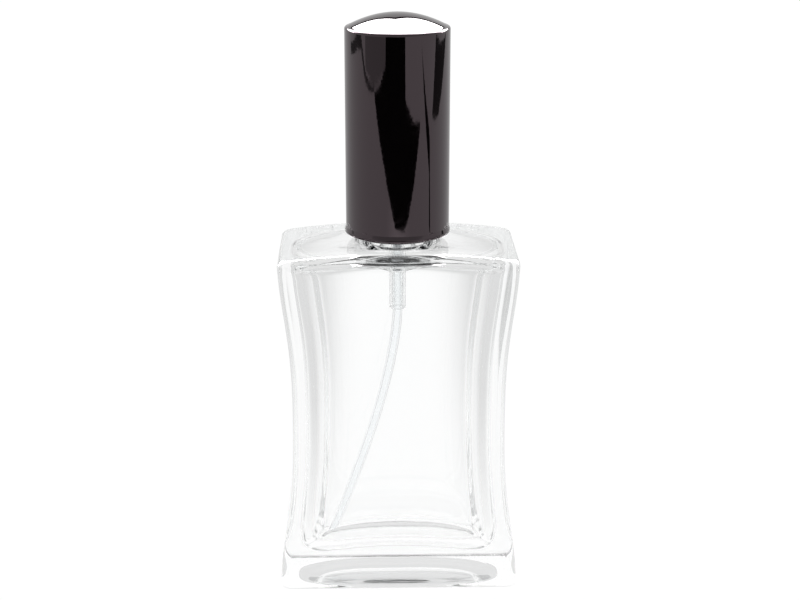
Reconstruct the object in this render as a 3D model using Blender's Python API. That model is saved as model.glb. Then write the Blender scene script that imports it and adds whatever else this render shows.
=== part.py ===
"""Aftershave bottle: a waisted glass bottle, a crimped spray pump and a lift-off overcap.

Metres, +Z up.  The origin is at the middle of the standing face, the broad front faces -Y.
Every turned piece is drawn as a profile of (radius, height above the table).
"""

import math

import bmesh
import bpy
from mathutils import Vector

MM = 0.001

# ---------------------------------------------------------------- driving dimensions

# Glass body
BODY_HEIGHT = 72.0 * MM            # table to the shoulder, at the neck
BODY_DEPTH = 26.0 * MM
BASE_WIDTH = 48.6 * MM
WAIST_WIDTH = 42.8 * MM
SHOULDER_WIDTH = 47.6 * MM
WAIST_ABOVE_MIDDLE = 2.0 * MM      # the narrowest place is a little above half height
SHOULDER_DROP = 1.6 * MM           # how much the crowned shoulder falls towards the ends
CORNER_RADIUS = 1.8 * MM           # upright edges
EDGE_RADIUS = 1.2 * MM             # edges round the base and the shoulder
SIDE_WALL = 2.5 * MM
FACE_WALL = 2.6 * MM
BASE_THICKNESS = 7.8 * MM          # under the middle of the cavity's floor
FLOOR_CROWN = 4.0 * MM             # how much that floor falls towards the ends
SHOULDER_THICKNESS = 2.2 * MM
CEILING_RADIUS = 2.2 * MM          # edges of the cavity's ceiling
FLOOR_BEND_ACROSS = 5.5 * MM       # the bend from the cavity's walls into its floor
FLOOR_BEND_DOWN = 7.0 * MM
CAVITY_POWER = 3.3                 # squareness of the cavity in plan: 2 is an ellipse
PUSH_UP = 2.4 * MM                 # hollow under the base
PUSH_UP_POWER = 3.2                # squareness of that hollow in plan
PUSH_UP_FLATNESS = 3.0             # power of its dome: 2 is a plain arch
STANDING_RIM = 2.2 * MM            # width of the flat rim it stands on
WAIST_EASE = 1.4                   # how late the sides swing out from the waist

# Crimp neck
NECK_BORE_RADIUS = 4.5 * MM
NECK_WALL = 1.8 * MM
NECK_HEIGHT = 9.3 * MM
BEAD_STEP = 1.2 * MM
BEAD_HEIGHT = 3.6 * MM
BEAD_SLOPE = 0.7 * MM              # the bead's sloping underside reaches this far below it
NECK_ROOT_HEIGHT = 2.2 * MM        # height of the fillet between the shoulder and the neck
ROOT_MARGIN = 0.8 * MM             # the fillet's foot is this much wider than the collar
BORE_FLARE = 1.5 * MM              # the bore opens into the cavity by this radius
LIP_RADIUS = 0.5 * MM

# Crimp ferrule, collar and gasket
GASKET_THICKNESS = 0.7 * MM
FERRULE_WALL = 0.35 * MM
SLEEVE_WALL = 0.4 * MM
CRIMP_TUCK = 1.2 * MM              # the rolled foot of the ferrule reaches this far under the bead
SLEEVE_RIM = 1.15 * MM             # width of the collar's rim round the button
SLEEVE_FOOT_LIFT = 0.9 * MM        # collar's lower edge above the shoulder
SLEEVE_OVER_BUTTON = 0.75 * MM     # how far the collar hides the button's lower edge

# Pump
STROKE = 4.5 * MM
HOUSING_WALL = 0.6 * MM
HOUSING_FLANGE = 0.9 * MM
MOUTH_STEP = 0.4 * MM              # the mouth that takes the turret is wider than the chamber
CHAMBER_FLOOR = 0.6 * MM
TURRET_WALL = 0.6 * MM
TURRET_FLANGE = 0.6 * MM
TURRET_LAP = 1.1 * MM              # the turret's flange laps the housing by this much
STEM_LEDGE = 0.75 * MM
STEM_WALL = 0.85 * MM
STEM_NECKING = 0.3 * MM            # the stem is thinner under its shoulder
SHOULDER_COLLAR = 0.6 * MM
VALVE_HEAD = 0.6 * MM
VALVE_CONE = 0.4 * MM
FLOW_GAP = 0.45 * MM
PORT_RADIUS = 0.35 * MM
PISTON_HEIGHT = 2.4 * MM
PISTON_WAIST = 0.4 * MM
PISTON_LIP = 0.5 * MM              # height of each wiping lip
PISTON_TAPER = 0.25 * MM           # height over which a lip narrows to the waist
PISTON_SLIP = 0.6 * MM
RETURN_WIRE = 0.4 * MM
RETURN_TURNS = 5.5
SLIP_WIRE = 0.25 * MM
SLIP_TURNS = 3.5
CLOSED_PITCH = 1.2                 # rise of a spring's closed end turn, in wire diameters
BALL_RADIUS = 1.1 * MM
BALL_LIFT = 0.5 * MM
BALL_STOP = 0.35 * MM              # height of the bumps that hold the ball down
BALL_STOPS = 3
INLET_RADIUS = 0.5 * MM
TAIL_WALL = 0.55 * MM
TAIL_SOCKET = 8.2 * MM

# Dip tube
TUBE_RADIUS = 1.0 * MM
TUBE_WALL = 0.42 * MM
TUBE_REACH = 15.4 * MM             # how far the tube's set carries its tip sideways
TUBE_BEND = 1.6                    # power of the bend
TUBE_SLANT = 0.6                   # slope of the tip's slanting cut
TUBE_FLOOR_GAP = 1.6 * MM

# Button
BUTTON_HEIGHT = 10.0 * MM
BUTTON_SHELL = 0.35 * MM
BUTTON_DISH = 0.6 * MM
STEM_ENGAGEMENT = 4.4 * MM
NOZZLE_ABOVE_STEM = 1.5 * MM
CHANNEL_RADIUS = 0.6 * MM
INSERT_RADIUS = 1.6 * MM
INSERT_LENGTH = 2.4 * MM
ORIFICE_RADIUS = 0.16 * MM

# Cap
CAP_HEIGHT = 40.9 * MM             # lower edge to the edge of the dome
CAP_DOME = 2.6 * MM
CAP_EDGE = 0.5 * MM
CAP_WALL = 0.6 * MM
CAP_LIP = 0.2 * MM                 # the rolled lip at the cap's foot stands out by this much
CAP_LIP_HEIGHT = 1.3 * MM
CAP_FOOT_LIFT = 1.5 * MM           # cap's lower edge above the shoulder
LINER_WALL = 0.6 * MM
LINER_LEDGE = 1.0 * MM
LINER_ABOVE_LEDGE = 6.0 * MM
LINER_RIB = 0.17 * MM
LINER_RIBS = 8

# Clearances
SEAT_GAP = 0.3 * MM                # between pieces that rest on each other
FIT = 0.12 * MM                    # radial, moulded piece in moulded piece
LOOSE_FIT = 0.2 * MM               # radial, what slides or is pushed on
BORE_CLEARANCE = 0.6 * MM          # pump housing in the glass bore
CRIMP_CLEARANCE = 0.25 * MM        # ferrule round the glass bead
BUTTON_CLEARANCE = 0.4 * MM        # button in the collar's rim
GRIP_CLEARANCE = 0.3 * MM          # liner round the collar, between the ribs
SPRING_SEAT = 0.15 * MM

# Fineness of the meshes
BODY_LEVELS = 9
FLOOR_SHARES = (0.75, 0.5, 0.25)   # rings drawn on the floor, as shares of its edge
PUSH_UP_SHARES = (0.35, 0.7, 1.0)
DOME_SHARES = (0.35, 0.65, 0.85)
SIDE_STEPS = 2
CORNER_STEPS = 4
FACE_STEPS = 6
ARC_STEPS = 3
SMALL_ARC_STEPS = 2
LARGE_ROUND = 40
MIDDLE_ROUND = 32
SMALL_ROUND = 24
TINY_ROUND = 16
CHANNEL_ROUND = 12
PORT_ROUND = 8
BALL_STEPS = 8
BALL_STOP_STEPS = 2
SPRING_STEPS = 12                  # per turn
WIRE_SIDES = 5
TUBE_SIDES = 10
TUBE_STEPS = 22
SAME_RADIUS = 0.03 * MM            # how closely a ring of points is known by its radius
MERGE_DISTANCE = 0.0001 * MM

# ---------------------------------------------------------------- derived sizes

HALF_DEPTH = BODY_DEPTH / 2
WAIST_Z = BODY_HEIGHT / 2 + WAIST_ABOVE_MIDDLE
SHOULDER_EDGE_Z = BODY_HEIGHT - SHOULDER_DROP
CEILING_Z = BODY_HEIGHT - SHOULDER_THICKNESS
OUTLINE_STEPS = SIDE_STEPS + CORNER_STEPS + FACE_STEPS

# Neck, from the bore outwards
COLUMN_RADIUS = NECK_BORE_RADIUS + NECK_WALL
BEAD_RADIUS = COLUMN_RADIUS + BEAD_STEP
NECK_TOP_Z = BODY_HEIGHT + NECK_HEIGHT
BEAD_FOOT_Z = NECK_TOP_Z - BEAD_HEIGHT
FERRULE_BORE = BEAD_RADIUS + CRIMP_CLEARANCE
FERRULE_RADIUS = FERRULE_BORE + FERRULE_WALL
SLEEVE_BORE = FERRULE_RADIUS + LOOSE_FIT
SLEEVE_RADIUS = SLEEVE_BORE + SLEEVE_WALL
ROOT_RADIUS = min(SLEEVE_RADIUS + ROOT_MARGIN, HALF_DEPTH - EDGE_RADIUS - SEAT_GAP)
LINER_BORE = SLEEVE_RADIUS + GRIP_CLEARANCE
LINER_RADIUS = LINER_BORE + LINER_WALL
CAP_BORE = LINER_RADIUS + FIT
CAP_RADIUS = CAP_BORE + CAP_WALL
BUTTON_RADIUS = SLEEVE_BORE - SLEEVE_RIM - BUTTON_CLEARANCE
CORE_RADIUS = BUTTON_RADIUS - BUTTON_SHELL - FIT

# Pump, from the bore inwards
HOUSING_RADIUS = NECK_BORE_RADIUS - BORE_CLEARANCE
MOUTH_RADIUS = HOUSING_RADIUS - HOUSING_WALL
CHAMBER_RADIUS = MOUTH_RADIUS - MOUTH_STEP
PLUG_RADIUS = MOUTH_RADIUS - FIT
PLUG_BORE = PLUG_RADIUS - TURRET_WALL
STEM_SHOULDER_RADIUS = PLUG_BORE - LOOSE_FIT
STEM_RADIUS = STEM_SHOULDER_RADIUS - STEM_LEDGE
STEM_CHANNEL = STEM_RADIUS - STEM_WALL
SHAFT_RADIUS = STEM_RADIUS - STEM_NECKING
HEAD_RADIUS = CHAMBER_RADIUS - FLOW_GAP
PISTON_RADIUS = CHAMBER_RADIUS - FIT
PISTON_BORE = SHAFT_RADIUS + FIT
TURRET_RADIUS = HOUSING_RADIUS + TURRET_LAP
POCKET_RADIUS = BALL_RADIUS + LOOSE_FIT
SOCKET_RADIUS = TUBE_RADIUS + FIT
TAIL_RADIUS = SOCKET_RADIUS + TAIL_WALL

# Stack on the neck, upwards
GASKET_Z = NECK_TOP_Z + SEAT_GAP
FLANGE_Z = GASKET_Z + GASKET_THICKNESS + SEAT_GAP
FLANGE_TOP_Z = FLANGE_Z + HOUSING_FLANGE
TURRET_Z = FLANGE_TOP_Z + SEAT_GAP
TURRET_TOP_Z = TURRET_Z + TURRET_FLANGE
FERRULE_TOP_Z = TURRET_TOP_Z + SEAT_GAP + FERRULE_WALL
PLATE_TOP_Z = FLANGE_TOP_Z + SEAT_GAP + FERRULE_WALL
BUTTON_Z = PLATE_TOP_Z + STROKE + SEAT_GAP
BUTTON_TOP_Z = BUTTON_Z + BUTTON_HEIGHT
CORE_Z = FERRULE_TOP_Z + STROKE + SEAT_GAP
CORE_TOP_Z = BUTTON_TOP_Z - BUTTON_SHELL - FIT
STEM_TOP_Z = CORE_Z + STEM_ENGAGEMENT
NOZZLE_Z = STEM_TOP_Z + NOZZLE_ABOVE_STEM
SLEEVE_Z = BODY_HEIGHT + SLEEVE_FOOT_LIFT
SLEEVE_TOP_Z = BUTTON_Z + SLEEVE_OVER_BUTTON

# Pump, downwards from the turret's ceiling
CEILING_OF_PUMP_Z = FLANGE_TOP_Z
STEM_SHOULDER_Z = CEILING_OF_PUMP_Z - SEAT_GAP - SHOULDER_COLLAR
SLIP_SPRING_TOP_Z = STEM_SHOULDER_Z - SPRING_SEAT
SLIP_SPRING_Z = SLIP_SPRING_TOP_Z - (SLIP_TURNS + 1) * SLIP_WIRE - PISTON_SLIP
PISTON_Z = SLIP_SPRING_Z - SPRING_SEAT - PISTON_HEIGHT
MOUTH_Z = PISTON_Z + PISTON_HEIGHT + PISTON_SLIP + FIT
HEAD_Z = PISTON_Z - FIT - VALVE_CONE - VALVE_HEAD
RETURN_SPRING_TOP_Z = HEAD_Z - SPRING_SEAT
RETURN_SPRING_Z = RETURN_SPRING_TOP_Z - (RETURN_TURNS + 1) * RETURN_WIRE - STROKE
CHAMBER_Z = RETURN_SPRING_Z - SPRING_SEAT
BALL_Z = CHAMBER_Z - BALL_STOP - BALL_LIFT - FIT - BALL_RADIUS
CONE_APEX_Z = BALL_Z - math.sqrt(2) * (BALL_RADIUS + FIT)
TUBE_STOP_Z = CONE_APEX_Z + INLET_RADIUS - CHAMBER_FLOOR
TAIL_Z = TUBE_STOP_Z - TAIL_SOCKET
TUBE_TOP_Z = TUBE_STOP_Z - FIT

# Cap
CAP_Z = BODY_HEIGHT + CAP_FOOT_LIFT
CAP_EDGE_Z = CAP_Z + CAP_HEIGHT
LINER_Z = CAP_Z + LINER_WALL
LEDGE_Z = SLEEVE_TOP_Z + SEAT_GAP
LEDGE_RADIUS = BUTTON_RADIUS + BUTTON_CLEARANCE + SEAT_GAP
LINER_TOP_Z = LEDGE_Z + LINER_LEDGE + LINER_ABOVE_LEDGE


# ---------------------------------------------------------------- helpers


def clear_scene():
    for old in list(bpy.data.objects):
        bpy.data.objects.remove(old, do_unlink=True)


def material(name, colour, roughness, metallic=0.0, transmission=0.0):
    made = bpy.data.materials.new(name)
    made.use_nodes = True
    shader = made.node_tree.nodes["Principled BSDF"]
    shader.inputs["Base Color"].default_value = (*colour, 1.0)
    shader.inputs["Roughness"].default_value = roughness
    shader.inputs["Metallic"].default_value = metallic
    shader.inputs["Transmission Weight"].default_value = transmission
    return made


def empty(name, height, parent=None):
    """An empty on the bottle's axis, which carries the pieces of one moving body."""
    made = bpy.data.objects.new(name, None)
    bpy.context.collection.objects.link(made)
    place(made, height, parent)
    return made


def place(thing, height, parent):
    """Put a thing on the axis at a world height, under its parent."""
    thing.parent = parent
    base = 0.0
    while parent is not None:
        base += parent.location.z
        parent = parent.parent
    thing.location = (0.0, 0.0, height - base)


def add_object(name, bm, skin, height=0.0, parent=None):
    """Close a bmesh drawn in world coordinates into an object with its origin at height."""
    bmesh.ops.recalc_face_normals(bm, faces=bm.faces)
    bmesh.ops.translate(bm, verts=bm.verts, vec=(0.0, 0.0, -height))
    mesh = bpy.data.meshes.new(name)
    bm.to_mesh(mesh)
    bm.free()
    mesh.materials.append(skin)
    mesh.shade_smooth()
    mesh.set_sharp_from_angle(angle=math.radians(35))
    made = bpy.data.objects.new(name, mesh)
    bpy.context.collection.objects.link(made)
    place(made, height, parent)
    return made


def turned(name, profile, skin, steps=MIDDLE_ROUND, height=0.0, parent=None):
    """Spin a closed profile of (radius, height) once round the axis."""
    bm = bmesh.new()
    verts = [bm.verts.new((radius, 0.0, z)) for radius, z in profile]
    edges = [bm.edges.new((a, b)) for a, b in zip(verts, verts[1:])]
    if profile[0][0] > 0.0:
        edges.append(bm.edges.new((verts[-1], verts[0])))
    bmesh.ops.spin(
        bm,
        geom=verts + edges,
        axis=(0.0, 0.0, 1.0),
        cent=(0.0, 0.0, 0.0),
        angle=math.tau,
        steps=steps,
        use_merge=True,
    )
    bmesh.ops.remove_doubles(bm, verts=bm.verts, dist=MERGE_DISTANCE)
    return add_object(name, bm, skin, height, parent)


def loft(rings, wrap=False):
    """Join equal rings of points into one skin, closed by flat ends or by wrapping round."""
    bm = bmesh.new()
    loops = [[bm.verts.new(point) for point in ring] for ring in rings]
    pairs = list(zip(loops, loops[1:]))
    if wrap:
        pairs.append((loops[-1], loops[0]))
    else:
        bm.faces.new(loops[0])
        bm.faces.new(loops[-1])
    for low, high in pairs:
        count = len(low)
        for i in range(count):
            j = (i + 1) % count
            bm.faces.new((low[i], low[j], high[j], high[i]))
    return bm


def arc(centre, radii, start, end, steps=ARC_STEPS):
    """Points on an elliptic arc in a profile; angles in degrees from the +radius direction."""
    points = []
    for i in range(steps + 1):
        angle = math.radians(start + (end - start) * i / steps)
        points.append(
            (centre[0] + radii[0] * math.cos(angle), centre[1] + radii[1] * math.sin(angle))
        )
    return points


def drill(target, name, radius, start, end, steps=SMALL_ROUND):
    """Cut a round hole between two world points through a target."""
    start = Vector(start)
    along = Vector(end) - start
    bm = bmesh.new()
    bmesh.ops.create_cone(
        bm, cap_ends=True, segments=steps, radius1=radius, radius2=radius, depth=along.length
    )
    mesh = bpy.data.meshes.new(name)
    bm.to_mesh(mesh)
    bm.free()
    cutter = bpy.data.objects.new(name, mesh)
    bpy.context.collection.objects.link(cutter)
    cutter.location = start + along / 2
    cutter.rotation_euler = along.to_track_quat("Z", "Y").to_euler()
    cutter.hide_render = True
    cutter.display_type = "WIRE"
    cut = target.modifiers.new(name, "BOOLEAN")
    cut.operation = "DIFFERENCE"
    cut.object = cutter
    cut.solver = "EXACT"


# ---------------------------------------------------------------- glass bottle


def half_width(z):
    """Half the outer width: narrowest at the waist, easing out to the base and the shoulder."""
    if z < WAIST_Z:
        end_width = BASE_WIDTH
        share = (WAIST_Z - z) / WAIST_Z
    else:
        end_width = SHOULDER_WIDTH
        share = (z - WAIST_Z) / (SHOULDER_EDGE_Z - WAIST_Z)
    swing = (1.0 - math.cos(math.pi * min(share, 1.0) ** WAIST_EASE)) / 2
    return (WAIST_WIDTH + (end_width - WAIST_WIDTH) * swing) / 2


def crown(x, z):
    """Height of a crowned surface that is at z over the axis."""
    return z - SHOULDER_DROP * (2 * x / SHOULDER_WIDTH) ** 2


def floor_fall(x):
    """How far the crowned floor of the cavity has fallen at x."""
    return FLOOR_CROWN * (2 * x / BASE_WIDTH) ** 2


def quarter_outline(step, half_w, half_d, radius):
    """Point of a rounded rectangle's first quarter, from the side's middle to the face's."""
    if step <= SIDE_STEPS:
        return half_w, (half_d - radius) * step / SIDE_STEPS
    if step <= SIDE_STEPS + CORNER_STEPS:
        angle = math.pi / 2 * (step - SIDE_STEPS) / CORNER_STEPS
        return (
            half_w - radius + radius * math.cos(angle),
            half_d - radius + radius * math.sin(angle),
        )
    share = (step - SIDE_STEPS - CORNER_STEPS) / FACE_STEPS
    return (half_w - radius) * (1.0 - share), half_d


def whole_outline(quarter):
    """Mirror a quarter, given as a function of its step, into a full turn of points."""
    points = []
    for x_sign, y_sign, backwards in ((1, 1, 0), (-1, 1, 1), (-1, -1, 0), (1, -1, 1)):
        for step in range(OUTLINE_STEPS):
            x, y = quarter(OUTLINE_STEPS - step if backwards else step)
            points.append((x_sign * x, y_sign * y))
    return points


def neck_ring(radius, z):
    def quarter(step):
        angle = math.pi / 2 * step / OUTLINE_STEPS
        return radius * math.cos(angle), radius * math.sin(angle)

    return [(x, y, z) for x, y in whole_outline(quarter)]


def superellipse_ring(z, half_w, half_d, power):
    """A level ellipse drawn out towards its corners."""

    def quarter(step):
        angle = math.pi / 2 * step / OUTLINE_STEPS
        across = abs(math.cos(angle)) ** (2 / power)
        return half_w * across, half_d * math.sin(angle) ** (2 / power)

    return [(x, y, z) for x, y in whole_outline(quarter)]


def level_ring(z, inset, radius):
    half_w = half_width(z) - inset
    half_d = HALF_DEPTH - inset
    outline = whole_outline(lambda step: quarter_outline(step, half_w, half_d, radius))
    return [(x, y, z) for x, y in outline]


def crowned_ring(z, inset, radius):
    return [(x, y, crown(x, z)) for x, y, edge_z in level_ring(SHOULDER_EDGE_Z, inset, radius)]


def between(ring_a, ring_b, share):
    """A ring part of the way from one to another, on the crowned surface of the first."""
    top = ring_a[0][2] - crown(ring_a[0][0], 0.0)
    points = []
    for a, b in zip(ring_a, ring_b):
        x = a[0] + (b[0] - a[0]) * share
        y = a[1] + (b[1] - a[1]) * share
        points.append((x, y, crown(x, top)))
    return points


def outside_of_glass():
    """Rings from the middle of the push-up, out and up to the shoulder."""
    rim = EDGE_RADIUS + STANDING_RIM
    rings = []
    for share in PUSH_UP_SHARES:
        rise = PUSH_UP * (1.0 - share ** PUSH_UP_FLATNESS)
        half_w = (BASE_WIDTH / 2 - rim) * share
        half_d = (HALF_DEPTH - rim) * share
        rings.append(superellipse_ring(rise, half_w, half_d, PUSH_UP_POWER))
    for i in range(ARC_STEPS + 1):
        angle = math.pi / 2 * i / ARC_STEPS
        inset = EDGE_RADIUS * (1.0 - math.sin(angle))
        rings.append(level_ring(EDGE_RADIUS * (1.0 - math.cos(angle)), inset, CORNER_RADIUS))
    edge_low = SHOULDER_EDGE_Z - EDGE_RADIUS
    for i in range(1, BODY_LEVELS):
        z = EDGE_RADIUS + (edge_low - EDGE_RADIUS) * i / BODY_LEVELS
        rings.append(level_ring(z, 0.0, CORNER_RADIUS))
    for i in range(ARC_STEPS + 1):
        angle = math.pi / 2 * i / ARC_STEPS
        inset = EDGE_RADIUS * (1.0 - math.cos(angle))
        drop = EDGE_RADIUS * (1.0 - math.sin(angle))
        rings.append(crowned_ring(BODY_HEIGHT - drop, inset, CORNER_RADIUS))
    return rings


def neck_of_glass(shoulder_ring):
    """Rings over the shoulder, up the neck, round its lip and down the bore."""
    root = neck_ring(ROOT_RADIUS, BODY_HEIGHT)
    rings = [between(shoulder_ring, root, 0.5)]
    profile = []
    for i in range(ARC_STEPS + 1):
        angle = math.pi / 2 * i / ARC_STEPS
        radius = ROOT_RADIUS - (ROOT_RADIUS - COLUMN_RADIUS) * math.sin(angle)
        profile.append((radius, BODY_HEIGHT + NECK_ROOT_HEIGHT * (1.0 - math.cos(angle))))
    profile.append((COLUMN_RADIUS, BEAD_FOOT_Z - BEAD_SLOPE))
    profile.append((BEAD_RADIUS, BEAD_FOOT_Z))
    profile += arc((BEAD_RADIUS - LIP_RADIUS, NECK_TOP_Z - LIP_RADIUS), (LIP_RADIUS,) * 2, 0, 90)
    profile += arc((NECK_BORE_RADIUS + LIP_RADIUS, NECK_TOP_Z - LIP_RADIUS),
                   (LIP_RADIUS,) * 2, 90, 180)
    profile += arc((NECK_BORE_RADIUS + BORE_FLARE, CEILING_Z + BORE_FLARE),
                   (BORE_FLARE,) * 2, 180, 270)
    return rings + [neck_ring(radius, z) for radius, z in profile]


def cavity_ring(z, inset, width_z):
    """A level ring of the cavity, whose walls thicken to the corners."""
    half_w = half_width(width_z) - SIDE_WALL - inset
    half_d = HALF_DEPTH - FACE_WALL - inset
    return superellipse_ring(z, half_w, half_d, CAVITY_POWER)


def inside_of_glass(flare_ring):
    """Rings over the cavity's ceiling, down its walls and over its crowned floor."""
    rings = []
    for i in range(ARC_STEPS + 1):
        angle = math.pi / 2 * i / ARC_STEPS
        inset = CEILING_RADIUS * (1.0 - math.sin(angle))
        drop = CEILING_RADIUS * (1.0 - math.cos(angle))
        ring = cavity_ring(CEILING_Z - drop, inset, SHOULDER_EDGE_Z - drop)
        rings.append([(x, y, crown(x, z)) for x, y, z in ring])
    rings.insert(0, between(rings[0], flare_ring, 0.5))
    top = CEILING_Z - CEILING_RADIUS - SHOULDER_DROP
    bottom = BASE_THICKNESS + FLOOR_BEND_DOWN
    for i in range(1, BODY_LEVELS):
        z = top + (bottom - top) * i / BODY_LEVELS
        rings.append(cavity_ring(z, 0.0, z))
    for i in range(ARC_STEPS + 1):
        angle = math.pi / 2 * i / ARC_STEPS
        inset = FLOOR_BEND_ACROSS * (1.0 - math.cos(angle))
        z = bottom - FLOOR_BEND_DOWN * math.sin(angle)
        rings.append([(x, y, low - floor_fall(x)) for x, y, low in cavity_ring(z, inset, z)])
    edge = rings[-1]
    for share in FLOOR_SHARES:
        rings.append([
            (x * share, y * share, BASE_THICKNESS - floor_fall(x * share)) for x, y, z in edge
        ])
    return rings


def bottle_glass():
    glass = material("clear_glass", (0.93, 0.95, 0.96), 0.02, transmission=1.0)
    outside = outside_of_glass()
    neck = neck_of_glass(outside[-1])
    inside = inside_of_glass(neck[-1])
    add_object("bottle_glass", loft(outside + neck + inside), glass)


# ---------------------------------------------------------------- crimp and collar


def neck_gasket():
    rubber = material("gasket_elastomer", (0.82, 0.82, 0.80), 0.6)
    outer = BEAD_RADIUS - LIP_RADIUS
    inner = HOUSING_RADIUS + LOOSE_FIT
    top = GASKET_Z + GASKET_THICKNESS
    profile = [(outer, GASKET_Z), (outer, top), (inner, top), (inner, GASKET_Z)]
    turned("neck_gasket", profile, rubber, height=GASKET_Z)


def crimp_ferrule():
    """An aluminium cup with a raised middle, rolled in under the neck's bead."""
    aluminium = material("crimp_aluminium", (0.80, 0.80, 0.82), 0.3, metallic=1.0)
    raised_bore = TURRET_RADIUS + SEAT_GAP
    raised_radius = raised_bore + FERRULE_WALL
    stem_hole = STEM_RADIUS + FIT + FERRULE_WALL
    crimp_bore = COLUMN_RADIUS + CRIMP_CLEARANCE + LOOSE_FIT
    crimp_radius = crimp_bore + FERRULE_WALL
    foot = BEAD_FOOT_Z - BEAD_SLOPE - CRIMP_TUCK
    tuck = BEAD_FOOT_Z - BEAD_SLOPE - FERRULE_WALL
    profile = [
        (stem_hole, FERRULE_TOP_Z),
        (raised_radius, FERRULE_TOP_Z),
        (raised_radius, PLATE_TOP_Z),
        (FERRULE_RADIUS - FERRULE_WALL, PLATE_TOP_Z),
        (FERRULE_RADIUS, PLATE_TOP_Z - FERRULE_WALL),
        (FERRULE_RADIUS, BEAD_FOOT_Z),
        (crimp_radius, tuck),
        (crimp_radius, foot),
        (crimp_bore, foot),
        (crimp_bore, tuck),
        (FERRULE_BORE, BEAD_FOOT_Z),
        (FERRULE_BORE, PLATE_TOP_Z - FERRULE_WALL),
        (raised_bore, PLATE_TOP_Z - FERRULE_WALL),
        (raised_bore, FERRULE_TOP_Z - FERRULE_WALL),
        (stem_hole, FERRULE_TOP_Z - FERRULE_WALL),
    ]
    turned("crimp_ferrule", profile, aluminium, height=NECK_TOP_Z)


def collar_sleeve():
    """A drawn black collar that hides the ferrule; its rim surrounds the button."""
    black = material("collar_black", (0.02, 0.02, 0.02), 0.12, metallic=0.4)
    opening = BUTTON_RADIUS + BUTTON_CLEARANCE
    profile = arc((SLEEVE_RADIUS - SLEEVE_WALL, SLEEVE_TOP_Z - SLEEVE_WALL),
                  (SLEEVE_WALL,) * 2, 0, 90, SMALL_ARC_STEPS)
    profile += [
        (opening, SLEEVE_TOP_Z),
        (opening, SLEEVE_TOP_Z - SLEEVE_WALL),
        (SLEEVE_BORE, SLEEVE_TOP_Z - SLEEVE_WALL),
        (SLEEVE_BORE, SLEEVE_Z),
        (SLEEVE_RADIUS, SLEEVE_Z),
    ]
    turned("collar_sleeve", profile, black, steps=LARGE_ROUND, height=SLEEVE_Z)


# ---------------------------------------------------------------- pump


def pump_housing():
    """Flanged chamber with a ball pocket, three ball stops and a tail that takes the tube."""
    translucent = material("housing_plastic", (0.88, 0.89, 0.90), 0.35, transmission=0.6)
    flange_radius = BEAD_RADIUS - LIP_RADIUS
    body_foot = CHAMBER_Z - CHAMBER_FLOOR
    taper_foot = CONE_APEX_Z + POCKET_RADIUS - CHAMBER_FLOOR
    stop_z = CHAMBER_Z - BALL_STOP
    stop_radius = BALL_RADIUS - LOOSE_FIT
    profile = [
        (flange_radius, FLANGE_Z),
        (flange_radius, FLANGE_TOP_Z),
        (MOUTH_RADIUS, FLANGE_TOP_Z),
        (MOUTH_RADIUS, MOUTH_Z),
        (CHAMBER_RADIUS, MOUTH_Z - MOUTH_STEP),
        (CHAMBER_RADIUS, CHAMBER_Z),
        (stop_radius, CHAMBER_Z),
        (stop_radius, stop_z),
        (POCKET_RADIUS, stop_z - LOOSE_FIT),
        (POCKET_RADIUS, CONE_APEX_Z + POCKET_RADIUS),
        (INLET_RADIUS, CONE_APEX_Z + INLET_RADIUS),
        (INLET_RADIUS, TUBE_STOP_Z),
        (SOCKET_RADIUS, TUBE_STOP_Z),
        (SOCKET_RADIUS, TAIL_Z),
        (TAIL_RADIUS, TAIL_Z),
        (TAIL_RADIUS, taper_foot),
        (HOUSING_RADIUS, body_foot),
        (HOUSING_RADIUS, FLANGE_Z),
    ]
    housing = turned("pump_housing", profile, translucent, steps=SMALL_ROUND, height=FLANGE_Z)
    open_between_stops(housing, stop_radius, stop_z)


def open_between_stops(housing, stop_radius, stop_z):
    """Widen the ring under the chamber to the pocket's radius, except at the bumps."""
    spacing = SMALL_ROUND // BALL_STOPS
    for vertex in housing.data.vertices:
        z = vertex.co.z + FLANGE_Z
        radius = math.hypot(vertex.co.x, vertex.co.y)
        on_stop = abs(radius - stop_radius) < SAME_RADIUS and z > stop_z - FIT
        step = round(math.atan2(vertex.co.y, vertex.co.x) / math.tau * SMALL_ROUND) % spacing
        if on_stop and step >= BALL_STOP_STEPS:
            grow = POCKET_RADIUS / radius
            vertex.co.x *= grow
            vertex.co.y *= grow


def turret():
    """A plug in the housing's mouth: it holds the stem's shoulder down and guides the stem."""
    white = material("turret_plastic", (0.86, 0.86, 0.85), 0.4)
    hole = STEM_RADIUS + FIT
    plug_foot = MOUTH_Z + LOOSE_FIT
    profile = [
        (hole, TURRET_TOP_Z),
        (TURRET_RADIUS, TURRET_TOP_Z),
        (TURRET_RADIUS, TURRET_Z),
        (PLUG_RADIUS, TURRET_Z),
        (PLUG_RADIUS, plug_foot),
        (PLUG_BORE, plug_foot),
        (PLUG_BORE, CEILING_OF_PUMP_Z),
        (hole, CEILING_OF_PUMP_Z),
    ]
    turned("turret", profile, white, steps=SMALL_ROUND, height=TURRET_Z)


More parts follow.
